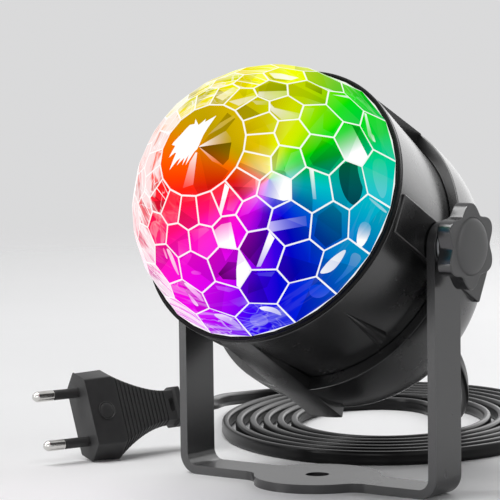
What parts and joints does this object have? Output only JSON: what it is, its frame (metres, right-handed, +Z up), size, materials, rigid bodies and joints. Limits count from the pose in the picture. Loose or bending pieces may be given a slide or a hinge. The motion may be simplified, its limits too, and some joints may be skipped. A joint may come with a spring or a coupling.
{
  "type": "led disco ball light",
  "caption": "Party light: a turning faceted clear dome in a round black lamp head that tilts in a U bracket between two clamp knobs, with a coiled flat mains lead and plug.",
  "frame": {"origin": "on the floor, half way between the front and the back of the lamp without its free lead, in the middle between the two knobs", "axes": "+Z up, -Y the way the dome faces, +X along the tilt axis to the right knob"},
  "size_m": [0.2034, 0.286, 0.1487],
  "materials": {
    "dark_grey_paint": "satin dark grey paint",
    "black_shell_plastic": "satin black moulded plastic",
    "gloss_black_trim": "gloss black",
    "gloss_black_knob": "semi-gloss black",
    "clear_dome": "clear moulded plastic lit from inside in many colours",
    "clear_post": "clear moulded plastic",
    "zinc_steel": "zinc plated",
    "brass": "turned brass",
    "white_nylon": "natural nylon",
    "aluminium": "plain aluminium",
    "board_green": "green solder resist",
    "led_lens": "clear lens on white base",
    "black_cord_rubber": "satin black sheath",
    "black_plug_vinyl": "satin black moulded plastic",
    "nickel": "bright nickel plate"
  },
  "bodies": {
    "stand": {"u_bracket": "dark_grey_paint", "cord_coil": "black_cord_rubber", "cord_lead": "black_cord_rubber", "cord_rise": "black_cord_rubber", "plug_body": "black_plug_vinyl", "plug_pin_upper": "nickel", "plug_pin_lower": "nickel", "pin_sleeve_upper": "black_plug_vinyl", "pin_sleeve_lower": "black_plug_vinyl"},
    "lamp_head": {"front_shell": "black_shell_plastic", "rear_shell": "black_shell_plastic", "bezel_ring": "gloss_black_trim", "heat_sink_plate": "aluminium", "led_board": "board_green", "led_red": "led_lens", "led_green": "led_lens", "led_blue": "led_lens", "remote_receiver": "gloss_black_trim", "gear_motor": "zinc_steel", "board_screw_1": "zinc_steel", "board_screw_2": "zinc_steel", "board_screw_3": "zinc_steel", "driver_board": "board_green", "driver_screw_1": "zinc_steel", "driver_screw_2": "zinc_steel", "driver_screw_3": "zinc_steel", "transformer": "gloss_black_trim", "smoothing_capacitor": "aluminium", "microphone": "aluminium", "housing_screw_1": "zinc_steel", "housing_screw_2": "zinc_steel", "housing_screw_3": "zinc_steel", "cord_gland": "black_cord_rubber", "pivot_insert_right": "brass", "pivot_insert_left": "brass", "friction_washer_right": "white_nylon", "friction_washer_left": "white_nylon"},
    "dome_drive": {"crystal_dome": "clear_dome", "dome_stem": "clear_post", "hub_set_screw": "zinc_steel", "motor_shaft": "zinc_steel"},
    "washer_right": {"plain_washer_right": "zinc_steel"},
    "washer_left": {"plain_washer_left": "zinc_steel"},
    "knob_right": {"clamp_knob_right": "gloss_black_knob", "knob_stud_right": "zinc_steel"},
    "knob_left": {"clamp_knob_left": "gloss_black_knob", "knob_stud_left": "zinc_steel"}
  },
  "joints": [
    {"name": "head_tilt", "type": "hinge", "parent": "stand", "child": "lamp_head", "pos_m": [0, -0.00011, 0.0868], "axis": [-1, 0, 0], "range_deg": [-85, 45]},
    {"name": "dome_spin", "type": "hinge", "parent": "lamp_head", "child": "dome_drive", "pos_m": [0, -0.00011, 0.0868], "axis": [0, -0.8813, 0.4726], "continuous": true},
    {"name": "knob_right_travel", "type": "slide", "parent": "stand", "child": "washer_right", "axis": [1, 0, 0], "range_m": [0, 0.001]},
    {"name": "knob_left_travel", "type": "slide", "parent": "stand", "child": "washer_left", "axis": [-1, 0, 0], "range_m": [0, 0.001]},
    {"name": "knob_right_turn", "type": "hinge", "parent": "washer_right", "child": "knob_right", "pos_m": [0.06, -0.00011, 0.0868], "axis": [1, 0, 0], "range_deg": [0, 450]},
    {"name": "knob_left_turn", "type": "hinge", "parent": "washer_left", "child": "knob_left", "pos_m": [-0.06, -0.00011, 0.0868], "axis": [-1, 0, 0], "range_deg": [0, 450]}
  ],
  "couplings": [
    {"joint": "knob_right_turn", "follows": "knob_right_travel", "rad_per_m": 7853.9},
    {"joint": "knob_left_turn", "follows": "knob_left_travel", "rad_per_m": 7853.9}
  ]
}
